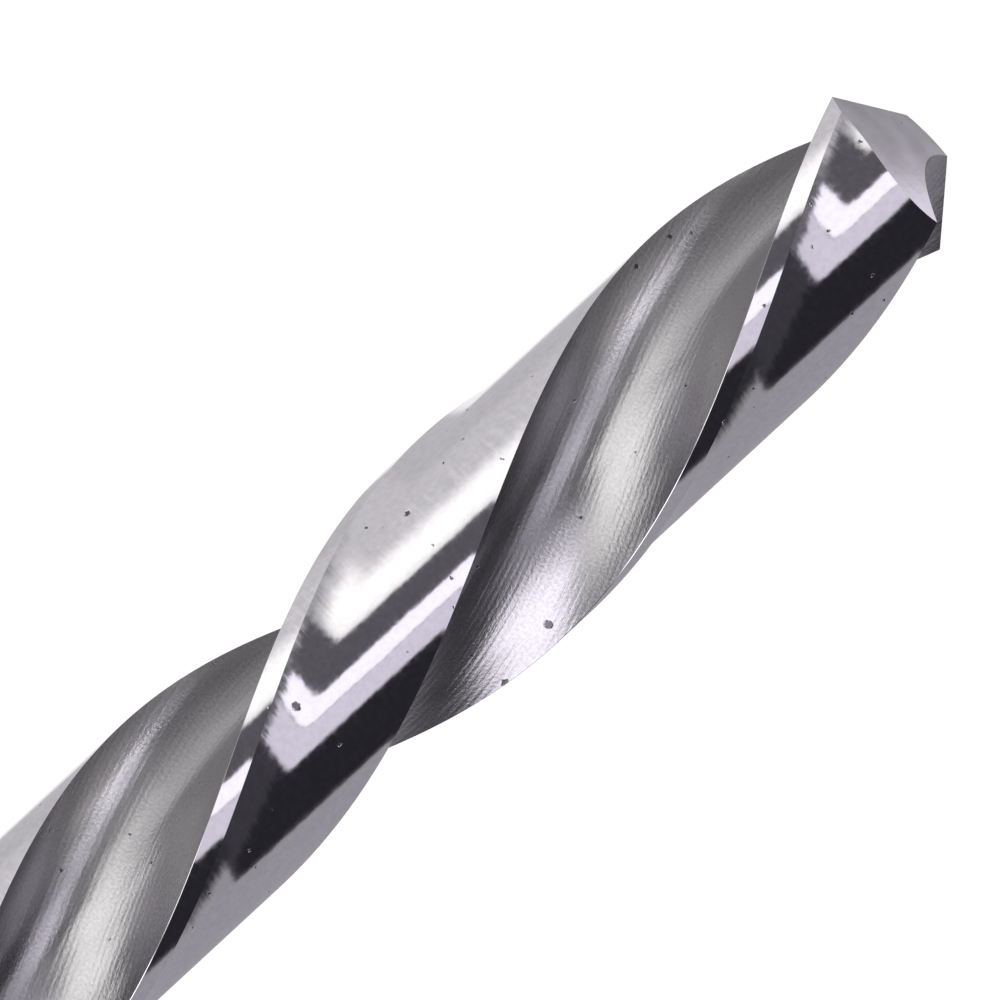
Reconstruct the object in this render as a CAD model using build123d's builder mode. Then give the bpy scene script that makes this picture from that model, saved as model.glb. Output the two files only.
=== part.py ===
"""Left-hand twist drill of jobber length, one piece of high-speed steel.

The drill stands on its shank: Z = 0 is the flat end of the shank, +Z runs along
the axis to the point, and both cutting lips are parallel to X.

Left-hand means that the flutes climb like a left-hand thread, so that the drill
cuts when it turns clockwise as seen from its point. Lengths are in millimetres
and angles in degrees.
"""

from build123d import *
import os
from math import acos, asin, atan2, ceil, cos, degrees, hypot, pi, radians, sin, sqrt, tan

# --- body ---------------------------------------------------------------------
drill_diameter = 10.0  # across the margins
overall_length = 133.0
flute_length = 87.0  # from the point to the end of the flutes' run-out
shank_diameter = 9.9
shank_chamfer = 0.6
neck_diameter = 9.4  # recess between the body and the shank
neck_length = 2.5  # with its two 45 degree shoulders
neck_gap = 1.5  # body of full diameter between the flutes and the neck

# --- flutes and lands ---------------------------------------------------------
helix_angle = 27.8  # at the margins
web_thickness = 2.2  # core between the flutes, at the point
web_growth = 0.006  # more web for each millimetre towards the shank
land_angle = 86.0  # from the cutting edge of a margin to the heel behind it
margin_width = 0.88  # round the circumference
body_relief = 0.36  # how far the land lies below its margin
margin_flat_dip = 0.01  # how far the flat up to the margin reaches below the land
flute_wheel_radius = 30.0  # grinding wheel that leaves a flute at its run-out
relief_wheel_radius = 60.0  # grinding wheel that leaves the land at its run-out

# --- point --------------------------------------------------------------------
point_angle = 124.0  # between the two lips
chisel_angle = 65.0  # from the lips to the chisel edge, seen along the axis
flank_cone_reach = 40.0  # from the axis to the apex of a flank's cone, along the lip
flank_cone_angle = 14.9  # half angle of that cone
lip_clearance = 7.0  # tilt of the flank about its lip

# --- helical cutters ----------------------------------------------------------
station_twist = 30.0  # turn from one cutter section to the next
overrun = 2.0  # how far a cutter runs past what it cuts

# --- sizes that follow --------------------------------------------------------
radius = drill_diameter / 2
land_radius = radius - body_relief
half_web = web_thickness / 2
half_point = radians(point_angle / 2)
lead = pi * drill_diameter / tan(radians(helix_angle))
station_rise = lead * station_twist / 360

# A lip runs parallel to X, half a web ahead of the axis. Both ends are measured
# along it from the point abreast of the axis.
lip_outer = sqrt(radius**2 - half_web**2)
lip_inner = half_web / tan(radians(chisel_angle))

# Directions in a section, from the lip's direction.
corner_angle = -degrees(asin(half_web / radius))  # cutting edge of the margin
heel_angle = corner_angle + land_angle
margin_back_angle = corner_angle + degrees(margin_width / radius)
flute_angle = corner_angle - (180 - land_angle) / 2  # middle of the flute ahead


def polar(distance, angle):
    """Point of a section, by its distance from the axis and its direction."""
    return Vector(distance * cos(radians(angle)), distance * sin(radians(angle)))


def wheel_travel(depth, wheel_radius):
    """Travel along the drill in which a wheel rises out of a cut of that depth."""
    return sqrt(wheel_radius**2 - (wheel_radius - depth) ** 2)


def wheel_lift(height, full_height, wheel_radius):
    """How far a wheel that starts to leave at full_height has risen at height."""
    travel = max(0.0, full_height - height)
    return wheel_radius - sqrt(wheel_radius**2 - travel**2)


# --- flank cone ---------------------------------------------------------------
# Each flank is part of a cone with the straight lip as one of its lines. The
# cones of the two flanks meet in the chisel edge.
lip_line = Vector(sin(half_point), 0, -cos(half_point))
lip_normal = Vector(cos(half_point), 0, sin(half_point))
flank_normal = lip_normal.rotate(Axis((0, 0, 0), lip_line), -lip_clearance)
cone_slope = radians(flank_cone_angle)
cone_axis = lip_line * cos(cone_slope) - flank_normal * sin(cone_slope)
apex_over_corner = (lip_outer + flank_cone_reach) / tan(half_point)


def apex_over_chisel():
    """Height of a cone's apex over the point where that cone crosses the axis."""
    flat = cone_axis.X * flank_cone_reach + cone_axis.Y * half_web
    square = flank_cone_reach**2 + half_web**2
    wide = cos(cone_slope) ** 2
    lead_term = cone_axis.Z**2 - wide
    root = sqrt((flat * cone_axis.Z) ** 2 - lead_term * (flat**2 - wide * square))
    return (flat * cone_axis.Z + root) / lead_term


apex_height = overall_length + apex_over_chisel()
corner_height = apex_height - apex_over_corner


def section_plane(height):
    """Plane across the drill that turns with the helix, so the flutes stand still."""
    turn = -360 * (height - corner_height) / lead
    return Plane(origin=(0, 0, height), x_dir=polar(1, turn), z_dir=(0, 0, 1))


def stations(low, high):
    """Heights of a cutter's sections, evenly spaced from low to high."""
    count = ceil((high - low) / station_rise)
    return [low + (high - low) * i / count for i in range(count + 1)]


# --- flute cutter -------------------------------------------------------------
# One wall of the flute is what makes the lip straight. From the web an arc
# leaves that wall and climbs to the heel of the other land.


def lip_wall(along):
    """Where the flute wall under a point of the lip crosses the section plane."""
    rise = (lip_outer - along) / tan(half_point)
    direction = degrees(atan2(-half_web, along)) + 360 * rise / lead
    return polar(hypot(along, half_web), direction)


flute_end = overall_length - flute_length
flute_depth = radius - half_web
flute_full_height = flute_end + wheel_travel(flute_depth, flute_wheel_radius)
flute_bottom = flute_full_height - wheel_travel(
    flute_depth + overrun, flute_wheel_radius
)


def flute_section(height):
    """Sketch of the flute cutter at a height."""
    lift = wheel_lift(height, flute_full_height, flute_wheel_radius)
    growth = web_growth * (overall_length - height) / 2
    shift = polar(lift + growth, flute_angle)
    wall_top = lip_wall(lip_outer + overrun) + shift
    wall_middle = lip_wall((lip_outer + lip_inner) / 2) + shift
    wall_foot = lip_wall(lip_inner) + shift
    heel = polar(land_radius, heel_angle - 180) + shift
    outside = polar(drill_diameter, flute_angle) + shift
    with BuildSketch(section_plane(height)) as section:
        with BuildLine():
            wall = ThreePointArc(wall_top, wall_middle, wall_foot)
            climb = TangentArc(wall @ 1, heel, tangent=wall % 1)
            exit_line = Line(climb @ 1, climb @ 1 + (climb % 1) * overrun)
            ThreePointArc(exit_line @ 1, outside, wall @ 0)
        make_face()
    return section.sketch


with BuildPart() as flute_cutter:
    for station in stations(flute_bottom, overall_length + overrun):
        add(flute_section(station))
    loft()

# --- land relief cutter -------------------------------------------------------
# It lowers the land behind its margin and ends past the heel, in the open flute.
# A flat that the land's circle all but touches rises from the land to the margin.
# Its floor is the core that the relief leaves, which flares out at the run-out.
cutter_radius = radius + overrun
flat_distance = land_radius - margin_flat_dip
flat_angle = margin_back_angle + degrees(acos(flat_distance / radius))
over_margin_angle = flat_angle - degrees(acos(flat_distance / cutter_radius))
past_heel_angle = heel_angle + (180 - land_angle) / 4
relief_angle = (margin_back_angle + heel_angle) / 2

relief_full_height = flute_end + wheel_travel(body_relief, relief_wheel_radius)
relief_bottom = relief_full_height - wheel_travel(
    body_relief + overrun, relief_wheel_radius
)
cutter_top = overall_length + overrun


def relief_section(height):
    """Sketch at a height of the land relief cutter, still with its core."""
    outside = polar(cutter_radius, relief_angle)
    with BuildSketch(section_plane(height)) as section:
        with BuildLine():
            sides = Polyline(
                polar(cutter_radius, over_margin_angle),
                polar(flat_distance, flat_angle),
                polar(half_web, relief_angle),
                polar(cutter_radius, past_heel_angle),
            )
            ThreePointArc(sides @ 1, outside, sides @ 0)
        make_face()
    return section.sketch


with BuildPart() as relief_cutter:
    for station in stations(relief_bottom, cutter_top):
        add(relief_section(station))
    loft()
    with BuildSketch(Plane.XZ):
        with BuildLine():
            flare_end = (land_radius, relief_full_height)
            flare_start = (cutter_radius, relief_bottom)
            flare = TangentArc(flare_end, flare_start, tangent=(0, -1))
            Polyline(flare @ 1, (0, relief_bottom), (0, cutter_top), (land_radius, cutter_top))
            Line((land_radius, cutter_top), flare @ 0)
        make_face()
    revolve(axis=Axis.Z, mode=Mode.SUBTRACT)

# --- flank waste --------------------------------------------------------------
# What the point grinder takes off over one flank: all that lies above its cone.
point_depth = radius / tan(half_point) + overrun
cone_length = 2 * (flank_cone_reach + drill_diameter)
cone_apex = Vector(-flank_cone_reach, -half_web, apex_height)

with BuildPart() as flank_waste:
    with BuildSketch(Plane.XY.offset(overall_length - point_depth)):
        Circle(radius + overrun)
    extrude(amount=point_depth + overrun)
    with Locations(Plane(cone_apex + cone_axis * cone_length, z_dir=-cone_axis)):
        Cone(
            bottom_radius=cone_length * tan(cone_slope),
            top_radius=0,
            height=cone_length,
            align=(Align.CENTER, Align.CENTER, Align.MIN),
            mode=Mode.SUBTRACT,
        )

# --- drill --------------------------------------------------------------------
shank_radius = shank_diameter / 2
neck_radius = neck_diameter / 2
body_start = flute_end - neck_gap
shank_length = body_start - neck_length

with BuildPart() as twist_drill:
    with BuildSketch(Plane.XZ):
        with BuildLine():
            Polyline(
                (0, 0),
                (shank_radius - shank_chamfer, 0),
                (shank_radius, shank_chamfer),
                (shank_radius, shank_length),
                (neck_radius, shank_length + shank_radius - neck_radius),
                (neck_radius, body_start - radius + neck_radius),
                (radius, body_start),
                (radius, cutter_top),
                (0, cutter_top),
                close=True,
            )
        make_face()
    revolve(axis=Axis.Z)
    for cutter in (flute_cutter, relief_cutter, flank_waste):
        with PolarLocations(0, 2):
            add(cutter.part, mode=Mode.SUBTRACT)
twist_drill.part.label = "twist_drill"

os.makedirs("parts", exist_ok=True)
export_step(twist_drill.part, "parts/twist_drill.step")
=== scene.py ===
"""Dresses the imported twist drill: its ground surfaces, its light and its camera.

The drill stands on its shank with its point up. Its mesh is worked out here from
the same few sizes as the CAD solid, in millimetres, and written in metres.
"""

from math import acos, atan2, ceil, cos, degrees, hypot, pi, radians, sin, sqrt, tan

import bmesh
import bpy
import numpy as np
from mathutils import Matrix, Vector
from mathutils.geometry import delaunay_2d_cdt


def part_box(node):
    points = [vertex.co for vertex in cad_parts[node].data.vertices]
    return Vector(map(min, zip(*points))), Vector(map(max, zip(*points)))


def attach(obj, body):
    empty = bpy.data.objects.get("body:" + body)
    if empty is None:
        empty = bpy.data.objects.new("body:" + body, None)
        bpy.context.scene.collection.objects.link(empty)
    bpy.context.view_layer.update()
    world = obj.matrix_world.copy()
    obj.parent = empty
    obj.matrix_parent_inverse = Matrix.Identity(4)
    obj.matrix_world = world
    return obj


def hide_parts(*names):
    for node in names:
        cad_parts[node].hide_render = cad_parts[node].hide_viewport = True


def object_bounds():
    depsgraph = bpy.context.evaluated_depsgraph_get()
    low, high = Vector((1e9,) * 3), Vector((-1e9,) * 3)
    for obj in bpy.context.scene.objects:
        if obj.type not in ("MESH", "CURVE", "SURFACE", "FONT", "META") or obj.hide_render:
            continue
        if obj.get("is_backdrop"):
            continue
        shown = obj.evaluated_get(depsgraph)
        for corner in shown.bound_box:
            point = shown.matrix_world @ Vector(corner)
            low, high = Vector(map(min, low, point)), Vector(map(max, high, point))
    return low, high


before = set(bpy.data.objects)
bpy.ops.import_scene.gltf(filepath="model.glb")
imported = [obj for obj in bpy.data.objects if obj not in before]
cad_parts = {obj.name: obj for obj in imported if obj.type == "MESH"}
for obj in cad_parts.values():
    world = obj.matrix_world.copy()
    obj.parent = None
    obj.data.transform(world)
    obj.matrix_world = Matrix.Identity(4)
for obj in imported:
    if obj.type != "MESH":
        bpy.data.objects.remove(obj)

MM = 0.001
cad_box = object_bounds()

# --- sizes, in millimetres and degrees ------------------------------------------
NODE = "twist_drill"
low_corner, high_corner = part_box(NODE)
DRILL_DIAMETER = round((high_corner[0] - low_corner[0]) / MM, 2)
OVERALL_LENGTH = round((high_corner[2] - low_corner[2]) / MM, 2)
FLUTE_LENGTH = 87.0
SHANK_DIAMETER = 9.9
SHANK_CHAMFER = 0.6
NECK_DIAMETER = 9.4
NECK_LENGTH = 2.5
NECK_GAP = 1.5

HELIX_ANGLE = 27.8
WEB_THICKNESS = 2.2
WEB_GROWTH = 0.006
LAND_ANGLE = 86.0
MARGIN_WIDTH = 0.88
BODY_RELIEF = 0.36
FLUTE_WHEEL_RADIUS = 30.0
RELIEF_WHEEL_RADIUS = 60.0
EDGE_WEAR = 0.02  # worn off both sides of the cutting edge along the margin

POINT_ANGLE = 124.0
CHISEL_ANGLE = 65.0
FLANK_CONE_REACH = 40.0
FLANK_CONE_ANGLE = 14.9
LIP_CLEARANCE = 7.0
OVERRUN = 2.0  # how far the flute's curve is worked out past the lip and the heel

RADIUS = DRILL_DIAMETER / 2
LAND_RADIUS = RADIUS - BODY_RELIEF
HALF_WEB = WEB_THICKNESS / 2
HALF_POINT = radians(POINT_ANGLE / 2)
LEAD = pi * DRILL_DIAMETER / tan(radians(HELIX_ANGLE))
LIP_OUTER = sqrt(RADIUS**2 - HALF_WEB**2)
LIP_INNER = HALF_WEB / tan(radians(CHISEL_ANGLE))
CORNER_TURN = -atan2(HALF_WEB, LIP_OUTER)
HEEL_TURN = CORNER_TURN + radians(LAND_ANGLE)
MARGIN_BACK_TURN = CORNER_TURN + MARGIN_WIDTH / RADIUS
FLUTE_TURN = CORNER_TURN - (pi - radians(LAND_ANGLE)) / 2
FLUTE_END = OVERALL_LENGTH - FLUTE_LENGTH
BODY_START = FLUTE_END - NECK_GAP

# --- mesh density ---------------------------------------------------------------
ROW_RISE = 0.14
TIP_LENGTH = 14.0  # in which the rows bend to meet the ground point
TIP_ROWS_START = OVERALL_LENGTH - TIP_LENGTH
TOP_RANGE = (-8.0, 0.5)  # that a column's top is sought in, from the overall length
TOP_HALVINGS = 48
MARGIN_COLUMNS = 8
FLAT_COLUMNS = 8
LAND_COLUMNS = 20
CLIMB_COLUMNS = 16
WALL_COLUMNS = 14
SHANK_RINGS = 8
FLANK_SPACING = 0.3
FLANK_CLEAR = 0.55  # of that spacing, left free beside the edges
FLANK_REACH = 6.0
CHISEL_POINTS = 11
CHISEL_BOW = 0.2  # furthest that the chisel edge is sought from a straight line
CHISEL_TRIALS = 401
CURVE_SAMPLES = 1600
TABLE_RISE = 0.1


def polar(distance, turn):
    """Point of a section as a complex number."""
    return distance * np.exp(1j * np.asarray(turn))


def wheel_travel(depth, wheel_radius):
    return sqrt(wheel_radius**2 - (wheel_radius - depth) ** 2)


def wheel_lift(heights, full_height, wheel_radius):
    travel = np.clip(full_height - heights, 0.0, wheel_radius)
    return wheel_radius - np.sqrt(wheel_radius**2 - travel**2)


# --- flank cones ----------------------------------------------------------------
cone_slope = radians(FLANK_CONE_ANGLE)
lip_line = Vector((sin(HALF_POINT), 0, -cos(HALF_POINT)))
lip_normal = Vector((cos(HALF_POINT), 0, sin(HALF_POINT)))
tilt = Matrix.Rotation(radians(-LIP_CLEARANCE), 3, lip_line)
flank_normal = tilt @ lip_normal
cone_axis = lip_line * cos(cone_slope) - flank_normal * sin(cone_slope)


def under_apex(x, y):
    """How far a flank cone lies below its apex, over a point given from that apex."""
    flat = cone_axis.x * x + cone_axis.y * y
    wide = cos(cone_slope) ** 2
    lead_term = cone_axis.z**2 - wide
    root = np.sqrt((flat * cone_axis.z) ** 2 - lead_term * (flat**2 - wide * (x**2 + y**2)))
    return (flat * cone_axis.z + root) / lead_term


APEX_HEIGHT = OVERALL_LENGTH + under_apex(FLANK_CONE_REACH, HALF_WEB)
CORNER_HEIGHT = APEX_HEIGHT - (LIP_OUTER + FLANK_CONE_REACH) / tan(HALF_POINT)


def one_flank(points):
    """Height of the first flank over points of the plan."""
    return APEX_HEIGHT - under_apex(points.real + FLANK_CONE_REACH, points.imag + HALF_WEB)


def point_height(points):
    """Height of the ground point, which is the lower of the two flanks."""
    return np.minimum(one_flank(points), one_flank(-points))


# --- section --------------------------------------------------------------------
def lip_wall(along):
    """Where the flute wall under a point of the lip crosses the turning section."""
    rise = (LIP_OUTER - along) / tan(HALF_POINT)
    return polar(hypot(along, HALF_WEB), atan2(-HALF_WEB, along) + 2 * pi * rise / LEAD)


def circle_through(a, b, c):
    """Centre of the circle through three points."""
    ab, ac = b - a, c - a
    return a + 0.5j * (ab * abs(ac) ** 2 - ac * abs(ab) ** 2) / (ab.conjugate() * ac).imag


def arc(centre, start, end, way):
    """Points of an arc, anticlockwise where way is 1 and clockwise where it is -1."""
    swing = np.angle((end - centre) / (start - centre))
    if swing * way < 0:
        swing += 2 * pi * way
    return centre + (start - centre) * np.exp(1j * swing * np.linspace(0, 1, CURVE_SAMPLES))


def flute_curve():
    """The flute across the turning section, from outside the heel to outside the lip.

    Returns its points and the index of the one where the arc down from the heel
    meets the wall under the lip.
    """
    lip_places = (LIP_OUTER + OVERRUN, (LIP_OUTER + LIP_INNER) / 2, LIP_INNER)
    top, middle, foot = (lip_wall(along) for along in lip_places)
    way = np.sign(((middle - top).conjugate() * (foot - middle)).imag)
    wall_centre = circle_through(top, middle, foot)
    wall = arc(wall_centre, top, foot, way)
    across = (foot - wall_centre) / abs(foot - wall_centre)
    ahead = 1j * way * across
    heel = polar(LAND_RADIUS, HEEL_TURN - pi)
    to_heel = heel - foot
    climb_centre = foot + across * abs(to_heel) ** 2 / (2 * (to_heel * across.conjugate()).real)
    climb_way = np.sign(((foot - climb_centre).conjugate() * ahead).imag)
    climb = arc(climb_centre, foot, heel, climb_way)
    leave = (climb[-1] - climb[-2]) / abs(climb[-1] - climb[-2])
    past_heel = heel + leave * np.linspace(0, OVERRUN, CURVE_SAMPLES // 4)[1:]
    curve = np.concatenate([wall[:-1], climb, past_heel])
    return curve[::-1], len(past_heel) + CURVE_SAMPLES - 1


CURVE, JUNCTION = flute_curve()
RUN = np.concatenate([[0], np.cumsum(abs(np.diff(CURVE)))])  # length along the curve

FLUTE_DEPTH = RADIUS - HALF_WEB
FLUTE_FULL_HEIGHT = FLUTE_END + wheel_travel(FLUTE_DEPTH, FLUTE_WHEEL_RADIUS)
RELIEF_FULL_HEIGHT = FLUTE_END + wheel_travel(BODY_RELIEF, RELIEF_WHEEL_RADIUS)


def land_radius(heights):
    lift = wheel_lift(heights, RELIEF_FULL_HEIGHT, RELIEF_WHEEL_RADIUS)
    return np.minimum(LAND_RADIUS + lift, RADIUS)


def crossing(distances, first, last, radius):
    """Where along the flute curve its distance from the axis passes a radius.

    The distances fall from first to last, and either end may come first.
    """
    step = 1 if last > first else -1
    stretch = np.arange(first, last + step, step)
    found = distances[stretch]
    order = np.argsort(found)
    return np.interp(radius, found[order], RUN[stretch][order])


def flat_turn(offset):
    """Direction of a point of the flat behind the margin, by its distance along it.

    The flat touches the land's circle where the offset is 0.
    """
    return MARGIN_BACK_TURN + acos(LAND_RADIUS / RADIUS) + np.arctan2(offset, LAND_RADIUS)


def on_curve(curve, run):
    """Points of the flute's curve, by their length along it."""
    return np.interp(run, RUN, curve.real) + 1j * np.interp(run, RUN, curve.imag)


def half_section(height):
    """One land and the flute behind it across the turning section, at a height.

    Returns the points and how far each lies across its surface: round the land from
    the cutting edge, and along the flute's own curve. The worn edge is the gap
    between the last point and the first one of the other half.
    """
    growth = WEB_GROWTH * (OVERALL_LENGTH - height) / 2
    lift = float(wheel_lift(np.array(height), FLUTE_FULL_HEIGHT, FLUTE_WHEEL_RADIUS))
    curve = CURVE + polar(lift + growth, FLUTE_TURN)
    distances = abs(curve)
    deepest = int(np.argmin(distances))
    outer = float(land_radius(np.array(height)))
    is_open = distances[deepest] < outer
    if is_open:
        at_heel = crossing(distances, deepest, 0, outer)
        at_lip = crossing(distances, deepest, len(curve) - 1, RADIUS)
    else:
        at_heel = at_lip = RUN[deepest]
    wear = min(EDGE_WEAR, (at_lip - at_heel) / 4)
    lip_turn = np.angle(on_curve(curve, at_lip)) + wear / RADIUS
    at_lip -= wear
    at_junction = min(max(RUN[JUNCTION], at_heel), at_lip)
    climb_run = np.linspace(at_heel, at_junction, CLIMB_COLUMNS + 1)
    wall_run = np.linspace(at_junction, at_lip, WALL_COLUMNS + 1)
    run = np.concatenate([climb_run, wall_run[1:]])
    flute = -on_curve(curve, run)
    if not is_open:
        flute = flute / abs(flute) * RADIUS
    heel_turn = np.angle(flute[0])
    margin = polar(RADIUS, np.linspace(lip_turn, MARGIN_BACK_TURN, MARGIN_COLUMNS + 1))
    flat_ends = [-sqrt(reach**2 - LAND_RADIUS**2) for reach in (RADIUS, outer)]
    offsets = np.linspace(*flat_ends, FLAT_COLUMNS + 1)
    flat = polar(np.hypot(LAND_RADIUS, offsets), flat_turn(offsets))
    land = polar(outer, np.linspace(flat_turn(offsets[-1]), heel_turn, LAND_COLUMNS + 1))
    points = np.concatenate([margin[:-1], flat[:-1], land[:-1], flute])
    round_land = RADIUS * (np.angle(points[: -len(flute)]) - lip_turn)
    return points, np.concatenate([round_land, [RADIUS * (heel_turn - lip_turn)], run])


HEEL_COLUMN = MARGIN_COLUMNS + FLAT_COLUMNS + LAND_COLUMNS
EDGE_COLUMN = HEEL_COLUMN + CLIMB_COLUMNS + WALL_COLUMNS
COLUMNS = EDGE_COLUMN + 1
table_heights = np.arange(BODY_START, OVERALL_LENGTH + 1, TABLE_RISE)
section_table = [half_section(height) for height in table_heights]
point_table = np.array([points for points, _ in section_table])
across_table = np.array([across for _, across in section_table])


def from_table(table, heights):
    """Value of each column of a table at its own height."""
    place = (heights - BODY_START) / TABLE_RISE
    low = np.clip(np.floor(place).astype(int), 0, len(table) - 2)
    part = place - low
    columns = np.arange(table.shape[1])
    return table[low, columns] * (1 - part) + table[low + 1, columns] * part


def helix_turn(heights):
    return -2 * pi * (heights - CORNER_HEIGHT) / LEAD


def section_points(heights):
    """Plan position of every column of one half, each at its own height."""
    return from_table(point_table, heights) * np.exp(1j * helix_turn(heights))


def column_tops():
    """Height at which each column runs out into the ground point."""
    low, high = (np.full(COLUMNS, OVERALL_LENGTH + end) for end in TOP_RANGE)
    for _ in range(TOP_HALVINGS):
        middle = (low + high) / 2
        above = middle > point_height(section_points(middle))
        high = np.where(above, middle, high)
        low = np.where(above, low, middle)
    return low


# --- mesh -----------------------------------------------------------------------
GROUND, FLUTE, FLANK = range(3)  # material slots
GRIND_MAP = "Grind"  # across a surface and along the drill, in centimetres
OTHER_FLUTE = 30.0  # sets the second half's place on the grind map apart
MAP_SCALE = 0.1  # from millimetres to the grind map
WELD = 1e-6
SHARP_ANGLE = radians(14)


def row_heights():
    """Height of every row in every column, from the neck to the ground point."""
    tops = column_tops()
    level = np.arange(BODY_START, TIP_ROWS_START, ROW_RISE)
    level[-1] = TIP_ROWS_START
    rising = np.linspace(0, 1, ceil((OVERALL_LENGTH - TIP_ROWS_START) / ROW_RISE))[1:, None]
    tip_rows = TIP_ROWS_START + (tops - TIP_ROWS_START) * rising
    return np.vstack([np.repeat(level[:, None], COLUMNS, axis=1), tip_rows])


def body_grid():
    """Rows of points round the fluted body, and where they lie on the grind map."""
    heights = row_heights()
    half = section_points(heights)
    plan = np.hstack([half, -half])
    across_heights = np.insert(heights, HEEL_COLUMN, heights[:, HEEL_COLUMN], axis=1)
    across = from_table(across_table, across_heights)
    return plan, np.hstack([heights] * 2), across, across_heights


def chisel_edge(start):
    """Points of the chisel edge between its two ends, where the two flanks meet."""
    along = start / abs(start)
    found = []
    for distance in np.linspace(1, -1, CHISEL_POINTS + 2)[1:-1] * abs(start):
        offset = np.linspace(-CHISEL_BOW, CHISEL_BOW, CHISEL_TRIALS)
        trial = along * (distance + 1j * offset)
        gap = one_flank(trial) - one_flank(-trial)
        found.append(complex(trial[np.argmin(abs(gap))]))
    return found


INSIDE_ONLY = 1  # the triangulation's own setting: nothing outside the rim


def flank_faces(rim):
    """Triangles over the ground point, from the plan of its rim.

    Returns the plan of their points, the triangles, and for each point the rim's
    point that it stands for, if any.
    """
    corner = HEEL_COLUMN + CLIMB_COLUMNS
    chisel = chisel_edge(rim[corner])
    row_step = FLANK_SPACING * sqrt(0.75)
    most_x, most_y = round(FLANK_REACH / FLANK_SPACING), round(FLANK_REACH / row_step)
    grid = [
        complex(x * FLANK_SPACING + (y % 2) * FLANK_SPACING / 2, y * FLANK_SPACING * sqrt(0.75))
        for x in range(-most_x, most_x + 1)
        for y in range(-most_y, most_y + 1)
    ]
    edge_points = np.concatenate([rim, chisel])
    clear = FLANK_SPACING * FLANK_CLEAR
    free = [point for point in grid if np.abs(edge_points - point).min() > clear]
    points = [*rim, *chisel, *free]
    count = len(rim)
    edges = [(i, (i + 1) % count) for i in range(count)]
    path = [corner, *range(count, count + len(chisel)), corner + count // 2]
    edges += list(zip(path, path[1:]))
    flat = [Vector((point.real, point.imag)) for point in points]
    placed, _, faces, origin, _, _ = delaunay_2d_cdt(flat, edges, [], INSIDE_ONLY, 1e-7)
    plan = np.array([complex(point.x, point.y) for point in placed])
    source = [found[0] if found and found[0] < count else None for found in origin]
    return plan, faces, source


def around(low, high, columns):
    """Corners of the faces between two rings, by the index of each one's first point."""
    for column in range(columns):
        after = (column + 1) % columns
        yield low + column, low + after, high + after, high + column


def body_faces(rows, columns, across, across_heights):
    """Faces of the fluted body, each with its slot and its places on the grind map."""
    for row in range(rows - 1):
        ring = around(row * columns, (row + 1) * columns, columns)
        for column, face in enumerate(ring):
            own = column % COLUMNS
            slot = FLUTE if HEEL_COLUMN <= own < EDGE_COLUMN else GROUND
            shift = OTHER_FLUTE if column >= COLUMNS else 0
            start = own + (own >= HEEL_COLUMN)
            end = min(start + 1, COLUMNS)
            places = [
                (across[r, c] + shift, across_heights[r, c])
                for r, c in ((row, start), (row, end), (row + 1, end), (row + 1, start))
            ]
            yield face, slot, places


def lower_profile():
    """Radius and height of each ring of the neck and the shank, from the top down."""
    shank, neck = SHANK_DIAMETER / 2, NECK_DIAMETER / 2
    shank_length = BODY_START - NECK_LENGTH
    shank_heights = np.linspace(shank_length, SHANK_CHAMFER, SHANK_RINGS + 1)
    return [
        (neck, BODY_START - (RADIUS - neck)),
        (neck, shank_length + shank - neck),
        *((shank, height) for height in shank_heights),
        (shank - SHANK_CHAMFER, 0.0),
    ]


def drill_mesh():
    plan, heights, across, across_heights = body_grid()
    rows, columns = plan.shape
    points = [np.stack([plan.real, plan.imag, heights], axis=2).reshape(-1, 3)]
    faces = list(body_faces(rows, columns, across, across_heights))
    count = rows * columns

    # the neck and the shank carry on from the lowest row, and a fan closes the foot
    above = 0
    for distance, height in lower_profile():
        ring = polar(distance, np.angle(plan[0]))
        points.append(np.stack([ring.real, ring.imag, np.full(columns, height)], axis=1))
        faces += [(face, GROUND, [(0.0, height)] * 4) for face in around(count, above, columns)]
        above, count = count, count + columns
    points.append(np.zeros((1, 3)))
    for column in range(columns):
        fan = (count, above + (column + 1) % columns, above + column)
        faces.append((fan, FLANK, [(0.0, 0.0)] * 3))
    count += 1

    # the ground point closes the top
    rim_row = (rows - 1) * columns
    flank_plan, triangles, source = flank_faces(plan[-1])
    points.append(np.stack([flank_plan.real, flank_plan.imag, point_height(flank_plan)], axis=1))
    for triangle in triangles:
        face = [count + i if source[i] is None else rim_row + source[i] for i in triangle]
        faces.append((face, FLANK, [(flank_plan[i].real, flank_plan[i].imag) for i in triangle]))

    mesh = bpy.data.meshes.new("drill")
    mesh.from_pydata((np.vstack(points) * MM).tolist(), [], [face for face, _, _ in faces])
    mesh.polygons.foreach_set("material_index", [slot for _, slot, _ in faces])
    grind_map = mesh.uv_layers.new(name=GRIND_MAP)
    places = np.array([place for _, _, own in faces for place in own], dtype=np.float32)
    grind_map.uv.foreach_set("vector", places.ravel() * MAP_SCALE)
    clean_up(mesh)
    return mesh


def clean_up(mesh):
    """Drops loose points, welds what coincides and marks the sharp edges."""
    clean = bmesh.new()
    clean.from_mesh(mesh)
    loose = [vert for vert in clean.verts if not vert.link_faces]
    bmesh.ops.delete(clean, geom=loose, context="VERTS")
    bmesh.ops.remove_doubles(clean, verts=clean.verts, dist=WELD)
    for face in clean.faces:
        face.smooth = True
    for edge in clean.edges:
        edge.smooth = edge.calc_face_angle(0) < SHARP_ANGLE
    clean.to_mesh(mesh)
    clean.free()


# --- materials ------------------------------------------------------------------
GRIND_LEAN = 0.35  # how far the wheel's marks step back across the flute along it
# Painted shade: a dark base colour laid into the pits, whose hollows are also bumped in.
PIT_SHADE_COLOUR = (0.13, 0.125, 0.135)
PIT_CELLS = 1300.0  # to the metre, each with a pit or none
PIT_CHANCE = 0.8  # above which a cell's own chance number gives it a pit
RAGGED = 0.18  # most that a pit's outline is shifted
RAGGED_SCALE = 9000.0
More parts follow.
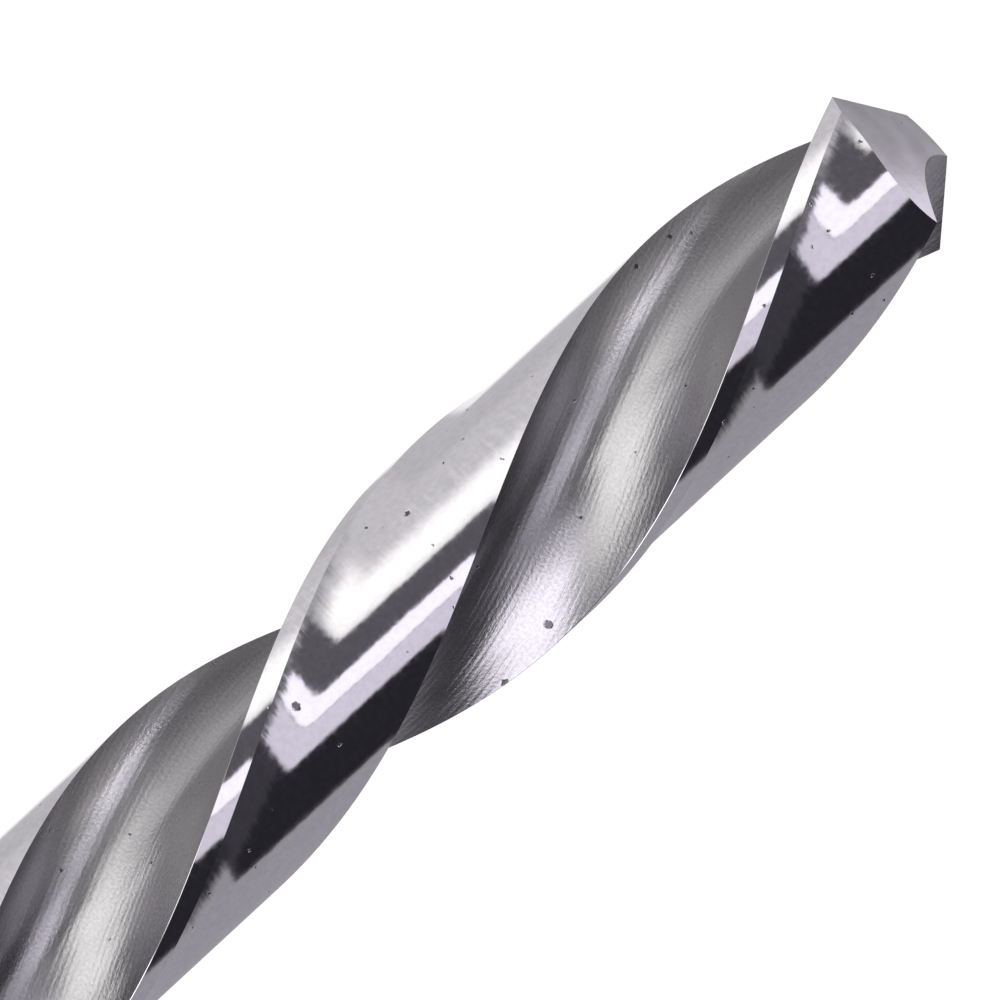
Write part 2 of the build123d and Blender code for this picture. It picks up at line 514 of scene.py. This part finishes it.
# The larger pits: where rays through their pixels in the photo met the drill's shape.
DEEP_PITS = (  # centre and radius, in millimetres
    ((-2.45, 3.41, 107.63), 0.17),
    ((-3.93, 3.03, 104.86), 0.16),
    ((3.94, 2.56, 97.03), 0.17),
    ((3.56, -2.98, 111.06), 0.10),
    ((4.63, -0.33, 105.97), 0.13),
    ((4.59, -1.26, 104.41), 0.08),
    ((2.06, -3.58, 122.33), 0.12),
    ((2.79, -3.07, 120.32), 0.11),
)


def new_material(name):
    """A new material, with its node tree and its shader."""
    material = bpy.data.materials.new(name)
    material.use_nodes = True
    return material, material.node_tree, material.node_tree.nodes["Principled BSDF"]


def new_steel(name):
    material, tree, shader = new_material(name)
    shader.inputs["Metallic"].default_value = 1.0
    return material, tree, shader


def add_node(tree, kind, inputs=None, **settings):
    """Adds a node, with its settings and with values or links for its inputs."""
    node = tree.nodes.new("ShaderNode" + kind)
    for name, value in settings.items():
        setattr(node, name, value)
    for name, value in (inputs or {}).items():
        if isinstance(value, bpy.types.NodeSocket):
            tree.links.new(value, node.inputs[name])
        else:
            node.inputs[name].default_value = value
    return node


def calculate(tree, operation, one, other=0.0):
    return add_node(tree, "Math", {0: one, 1: other}, operation=operation).outputs[0]


def noise(tree, place, scale, detail):
    """Noise whose grain is as fine in each direction as that scale says."""
    stretched = add_node(tree, "Mapping", {"Vector": place, "Scale": scale}).outputs["Vector"]
    inputs = {"Vector": stretched, "Scale": 1.0, "Detail": detail, "Roughness": 0.55}
    return add_node(tree, "TexNoise", inputs).outputs["Fac"]


def relief(tree, shader, layers):
    """Bumps the shader with (height, depth in millimetres) layers."""
    normal = None
    for height, depth in layers:
        inputs = {"Height": height, "Strength": 1.0, "Distance": depth * MM}
        if normal:
            inputs["Normal"] = normal
        normal = add_node(tree, "Bump", inputs).outputs["Normal"]
    tree.links.new(normal, shader.inputs["Normal"])


def smooth_step(tree, value, edge, soft):
    """0 well below an edge and 1 well above it."""
    inputs = {"Value": value, "From Min": edge - soft, "From Max": edge + soft}
    step = add_node(tree, "MapRange", inputs, interpolation_type="SMOOTHSTEP")
    return step.outputs["Result"]


def below(tree, value, edge, soft):
    return calculate(tree, "SUBTRACT", 1.0, smooth_step(tree, value, edge, soft))


def between(tree, value, ends, soft):
    rising, falling = (smooth_step(tree, value, end, soft) for end in ends)
    return calculate(tree, "SUBTRACT", rising, falling)


def both(tree, one, other):
    return calculate(tree, "MULTIPLY", one, other)


def over(tree, under, inside, colour):
    """Lays a colour over what is there so far, as far as inside says."""
    inputs = {0: inside, 6: under, 7: (*colour, 1)}
    return add_node(tree, "Mix", inputs, data_type="RGBA").outputs[2]


def dot(tree, one, other):
    return add_node(tree, "VectorMath", {0: one, 1: other}, operation="DOT_PRODUCT").outputs[1]


def in_degrees(tree, value, operation, other=0.0):
    return calculate(tree, "DEGREES", calculate(tree, operation, value, other))


def ragged(tree, place):
    """Shifts places a little, so that round marks get an uneven outline."""
    inputs = {"Vector": place, "Scale": RAGGED_SCALE, "Detail": 1.0}
    shift = add_node(tree, "TexNoise", inputs)
    inputs = {0: shift.outputs["Color"], 1: (RAGGED * MM,) * 3, 2: place}
    return add_node(tree, "VectorMath", inputs, operation="MULTIPLY_ADD").outputs[0]


def pits(tree, place, size):
    """1 inside pits and 0 elsewhere: chance small ones, and the deep ones listed above."""
    place = ragged(tree, place)
    cells = add_node(tree, "TexVoronoi", {"Vector": place, "Scale": PIT_CELLS})
    split = add_node(tree, "SeparateColor", {"Color": cells.outputs["Color"]})
    chance = smooth_step(tree, split.outputs["Red"], PIT_CHANCE, 0.01)
    inside = both(tree, below(tree, cells.outputs["Distance"], size, size * 0.35), chance)
    for centre, radius in DEEP_PITS:
        centre = [part * MM + RAGGED * MM / 2 for part in centre]
        apart = add_node(tree, "VectorMath", {0: place, 1: centre}, operation="DISTANCE")
        within = below(tree, apart.outputs[1], radius * MM, radius * MM * 0.3)
        inside = calculate(tree, "MAXIMUM", inside, within)
    return inside


def stretch(tree, amount):
    """Spreads a noise's middle values over 0 to 1."""
    return smooth_step(tree, amount, 0.5, 0.22)


def blend_colour(tree, shader, amount, dark, light, spots):
    """Base colour between two tones, and painted shade in the pits."""
    tone = over(tree, (*dark, 1), stretch(tree, amount), light)
    tone = over(tree, tone, spots, PIT_SHADE_COLOUR)
    tree.links.new(tone, shader.inputs["Base Color"])


def blend_roughness(tree, shader, amount, least, most):
    inputs = {"Value": stretch(tree, amount), "To Min": least, "To Max": most}
    roughness = add_node(tree, "MapRange", inputs).outputs["Result"]
    tree.links.new(roughness, shader.inputs["Roughness"])


def ground_steel():
    """Cylindrically ground lands, margins and shank: fine marks run round the drill."""
    material, tree, shader = new_steel("ground_steel")
    place = add_node(tree, "TexCoord").outputs["Object"]
    mottle = noise(tree, place, (3400.0,) * 3, 2.0)
    chatter = noise(tree, place, (60.0, 60.0, 1500.0), 2.0)
    ripples = noise(tree, place, (800.0,) * 3, 2.0)
    marks = noise(tree, place, (300.0, 300.0, 7000.0), 3.0)
    spots = pits(tree, place, 0.09)
    blend_colour(tree, shader, mottle, (0.75, 0.73, 0.76), (0.82, 0.80, 0.83), spots)
    blend_roughness(tree, shader, mottle, 0.06, 0.11)
    fine = [(mottle, 0.0012), (marks, 0.0007), (spots, -0.015)]
    relief(tree, shader, [(ripples, 0.009), (chatter, 0.008), *fine])
    return material


def flute_steel():
    """Wheel-ground flutes: the wheel's marks cross them at a lean to the helix."""
    material, tree, shader = new_steel("flute_steel")
    place = add_node(tree, "UVMap", uv_map=GRIND_MAP).outputs["UV"]
    inputs = {"X": dot(tree, place, (1, GRIND_LEAN, 0)), "Y": dot(tree, place, (0, 1, 0))}
    leaning = add_node(tree, "CombineXYZ", inputs).outputs["Vector"]
    inputs = {"Scale": 10.8, "Distortion": 0.8, "Detail": 1.0, "Detail Scale": 0.4}
    inputs["Vector"] = leaning
    lines = add_node(tree, "TexWave", inputs, bands_direction="X").outputs["Fac"]
    patches = noise(tree, place, (5.0, 1.6, 1.0), 1.0)
    lines = both(tree, lines, patches)
    scratches = noise(tree, leaning, (110.0, 7.0, 1.0), 3.0)
    grain = noise(tree, place, (75.0, 75.0, 1.0), 2.0)
    swell = noise(tree, place, (6.0, 2.0, 1.0), 1.0)
    spots = pits(tree, add_node(tree, "TexCoord").outputs["Object"], 0.09)
    # The flutes' darker base colour is partly their rougher grind's own tone and partly painted
    # shade in the hollow flutes.
    blend_colour(tree, shader, grain, (0.47, 0.46, 0.47), (0.57, 0.56, 0.57), spots)
    blend_roughness(tree, shader, patches, 0.26, 0.33)
    fine = [(scratches, 0.006), (grain, 0.009), (spots, -0.015)]
    relief(tree, shader, [(swell, 0.06), (lines, 0.005), *fine])
    return material


def flank_steel():
    """Matte flanks of the ground point, and the end of the shank."""
    material, tree, shader = new_steel("flank_steel")
    place = add_node(tree, "TexCoord").outputs["Object"]
    cloud = noise(tree, place, (700.0,) * 3, 3.0)
    grain = noise(tree, place, (6000.0,) * 3, 2.0)
    spots = pits(tree, place, 0.07)
    blend_colour(tree, shader, cloud, (0.74, 0.71, 0.77), (0.84, 0.81, 0.87), spots)
    blend_roughness(tree, shader, cloud, 0.30, 0.38)
    relief(tree, shader, [(cloud, 0.02), (grain, 0.002), (spots, -0.02)])
    return material


# --- camera and light -----------------------------------------------------------
CAMERA_AZIMUTH = radians(127.1)
CAMERA_ELEVATION = radians(-8.2)
AXIS_SLOPE = radians(42.7)  # the drill's axis climbs this steeply across the picture
CAMERA_DISTANCE = 1500.0  # the other views clip what is much farther
FRAME_WIDTH = 40.98  # of the picture, at the drill's axis
AIM_HEIGHT = 109.66  # where the axis passes abreast of the picture's centre
AIM_ASIDE = -0.895  # from the axis to the picture's centre
SENSOR_WIDTH = 36.0
FLOOR_REACH = 0.42  # in metres: the low camera looks in below the floor's edge
FLOOR_COLOUR = (0.80, 0.80, 0.80, 1)
BACKDROP = (1.05, 1.05, 1.05, 1)


def add_camera():
    back = Vector(
        (
            sin(CAMERA_AZIMUTH) * cos(CAMERA_ELEVATION),
            -cos(CAMERA_AZIMUTH) * cos(CAMERA_ELEVATION),
            sin(CAMERA_ELEVATION),
        )
    )
    aside = Vector((0, 0, 1)).cross(back).normalized()
    upright = back.cross(aside)
    right = sin(AXIS_SLOPE) * aside + cos(AXIS_SLOPE) * upright
    up = sin(AXIS_SLOPE) * upright - cos(AXIS_SLOPE) * aside
    place = Vector((0, 0, AIM_HEIGHT)) + aside * AIM_ASIDE + back * CAMERA_DISTANCE
    data = bpy.data.cameras.new("camera")
    data.sensor_width = SENSOR_WIDTH
    data.lens = SENSOR_WIDTH * CAMERA_DISTANCE / FRAME_WIDTH
    data.clip_start, data.clip_end = 0.01, 50.0
    camera = bpy.data.objects.new("camera", data)
    turn = Matrix((right, up, back)).transposed().to_4x4()
    camera.matrix_world = Matrix.Translation(place * MM) @ turn
    bpy.context.scene.collection.objects.link(camera)
    bpy.context.scene.camera = camera


def add_floor():
    mesh = bpy.data.meshes.new("floor")
    signs = ((-1, -1), (1, -1), (1, 1), (-1, 1))
    corners = [(x * FLOOR_REACH, y * FLOOR_REACH, 0) for x, y in signs]
    mesh.from_pydata(corners, [], [(0, 1, 2, 3)])
    floor = bpy.data.objects.new("floor", mesh)
    bpy.context.scene.collection.objects.link(floor)
    material, _, shader = new_material("floor")
    shader.inputs["Base Color"].default_value = FLOOR_COLOUR
    shader.inputs["Roughness"].default_value = 0.9
    mesh.materials.append(material)
    floor.visible_glossy = False  # the studio panels stand for what it would mirror
    floor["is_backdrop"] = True


# The studio round the drill, as soft-edged panels laid over one another. Each has the
# ends of its turn from the camera towards the right of an upright drill, the ends of
# its rise above the horizon, how soft its edges are in both, and its light. Their
# places and tones go back to what the steel mirrors in the photo, worked out from its
# pixels in separate scripts and then tuned by hand. They light the scene and are no
# part of the object.
STUDIO_BASE = (0.36, 0.35, 0.36)
STUDIO_PANELS = (
    ("back light", (112, 166), (57, 84), (8, 5), (1.25, 1.20, 1.34)),
    ("ceiling", (-220, 220), (16, 54), (3, 4), (0.33, 0.325, 0.335)),
    ("left wall", (-220, -80), (-60, 24), (8, 5), (0.58, 0.57, 0.59)),
    ("back wall", (-220, -158), (-60, 20), (5, 4), (0.95, 0.94, 0.96)),
    ("window surround", (-110, -27), (-45, 26), (8, 3), (0.66, 0.65, 0.67)),
    ("window sill", (-92, -27), (-14, 5), (8, 4), (1.22, 1.21, 1.20)),
    ("window", (-60, -27), (-26, 19), (12, 5), (1.36, 1.35, 1.32)),
    ("window foot", (-70, -24), (-34, 1), (11, 5), (1.7, 1.68, 1.66)),
    ("centre wall", (-2, 38), (11, 37), (2, 2), (0.15, 0.145, 0.16)),
    ("shade", (-27, -1.5), (-6, 28), (2, 3), (0.115, 0.11, 0.125)),
    ("shade rim", (-44, -9), (28.6, 33), (2, 1.2), (0.58, 0.56, 0.59)),
    ("shade foot", (-22, 36), (-14, 5), (5, 4), (0.09, 0.085, 0.10)),
    ("table light", (-14, 46), (-64, -17), (7, 5), (2.2, 2.12, 2.34)),
    ("lens", (-3, 8), (-13, 3), (3, 3), (0.08, 0.07, 0.09)),
    ("tube", (-0.5, 15), (1, 26), (1.2, 1.5), (1.25, 1.22, 1.36)),
    ("tube housing", (15.5, 35), (1, 26), (1.5, 1.5), (0.78, 0.74, 0.85)),
    ("curtain", (36, 90), (-20, 42), (2, 6), (0.05, 0.047, 0.058)),
    ("curtain foot", (52, 92), (-64, -10), (8, 6), (0.06, 0.057, 0.068)),
    ("curtain fold", (37, 86), (4, 13), (2, 2), (0.022, 0.021, 0.027)),
    ("right wall", (94, 220), (-60, 15), (5, 4), (0.36, 0.35, 0.385)),
    ("right shade", (85, 130), (17, 27), (6, 3), (0.03, 0.03, 0.035)),
    ("ceiling shade", (-75, 10), (43, 60), (12, 4), (0.12, 0.118, 0.125)),
)

# A straight strip light overhead: where it is highest, its half width, and its ends.
STRIP_TOP = (radians(45), radians(48))
STRIP_HALF_WIDTH = 5
STRIP_TURNS = (1, 86)
STRIP_SOFT, STRIP_END_SOFT = 2.5, 5
STRIP_COLOUR = (3.6, 3.5, 3.78)


def strip_light(tree, direction, turn, toward, aside):
    """1 inside the strip light and 0 elsewhere."""
    top_turn, top_rise = STRIP_TOP
    across_strip = [
        -sin(top_rise) * (sin(top_turn) * a + cos(top_turn) * t) + cos(top_rise) * z
        for a, t, z in zip(aside, toward, (0, 0, 1))
    ]
    beside = in_degrees(tree, dot(tree, direction, across_strip), "ARCSINE")
    sides = between(tree, beside, (-STRIP_HALF_WIDTH, STRIP_HALF_WIDTH), STRIP_SOFT)
    return both(tree, sides, between(tree, turn, STRIP_TURNS, STRIP_END_SOFT))


def add_world():
    """The studio that lights the drill, and the white backdrop that the camera sees."""
    world = bpy.data.worlds.new("studio")
    world.use_nodes = True
    bpy.context.scene.world = world
    tree = world.node_tree
    direction = add_node(tree, "TexCoord").outputs["Generated"]
    toward = (sin(CAMERA_AZIMUTH), -cos(CAMERA_AZIMUTH), 0)
    aside = (cos(CAMERA_AZIMUTH), sin(CAMERA_AZIMUTH), 0)
    across, near, upward = (dot(tree, direction, axis) for axis in (aside, toward, (0, 0, 1)))
    turn = in_degrees(tree, across, "ARCTAN2", near)
    rise = in_degrees(tree, upward, "ARCSINE")
    light = (*STUDIO_BASE, 1)
    for _, turns, rises, (turn_soft, rise_soft), colour in STUDIO_PANELS:
        beside = between(tree, turn, turns, turn_soft)
        upright = between(tree, rise, rises, rise_soft)
        light = over(tree, light, both(tree, beside, upright), colour)
    strip = strip_light(tree, direction, turn, toward, aside)
    light = over(tree, light, strip, STRIP_COLOUR)
    background = tree.nodes["Background"]
    tree.links.new(light, background.inputs["Color"])
    backdrop = add_node(tree, "Background", {"Color": BACKDROP})
    seen = add_node(tree, "LightPath").outputs["Is Camera Ray"]
    inputs = {0: seen, 1: background.outputs[0], 2: backdrop.outputs[0]}
    either = add_node(tree, "MixShader", inputs)
    tree.links.new(either.outputs[0], tree.nodes["World Output"].inputs["Surface"])


# --- scene ----------------------------------------------------------------------
mesh = drill_mesh()
for material in (ground_steel(), flute_steel(), flank_steel()):
    mesh.materials.append(material)
drill = bpy.data.objects.new("drill", mesh)
bpy.context.scene.collection.objects.link(drill)
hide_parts(NODE)
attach(drill, "root")

add_camera()
add_world()
add_floor()
bpy.context.scene.view_settings.view_transform = "Standard"

[[list(corner) for corner in box] for box in (cad_box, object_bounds())]
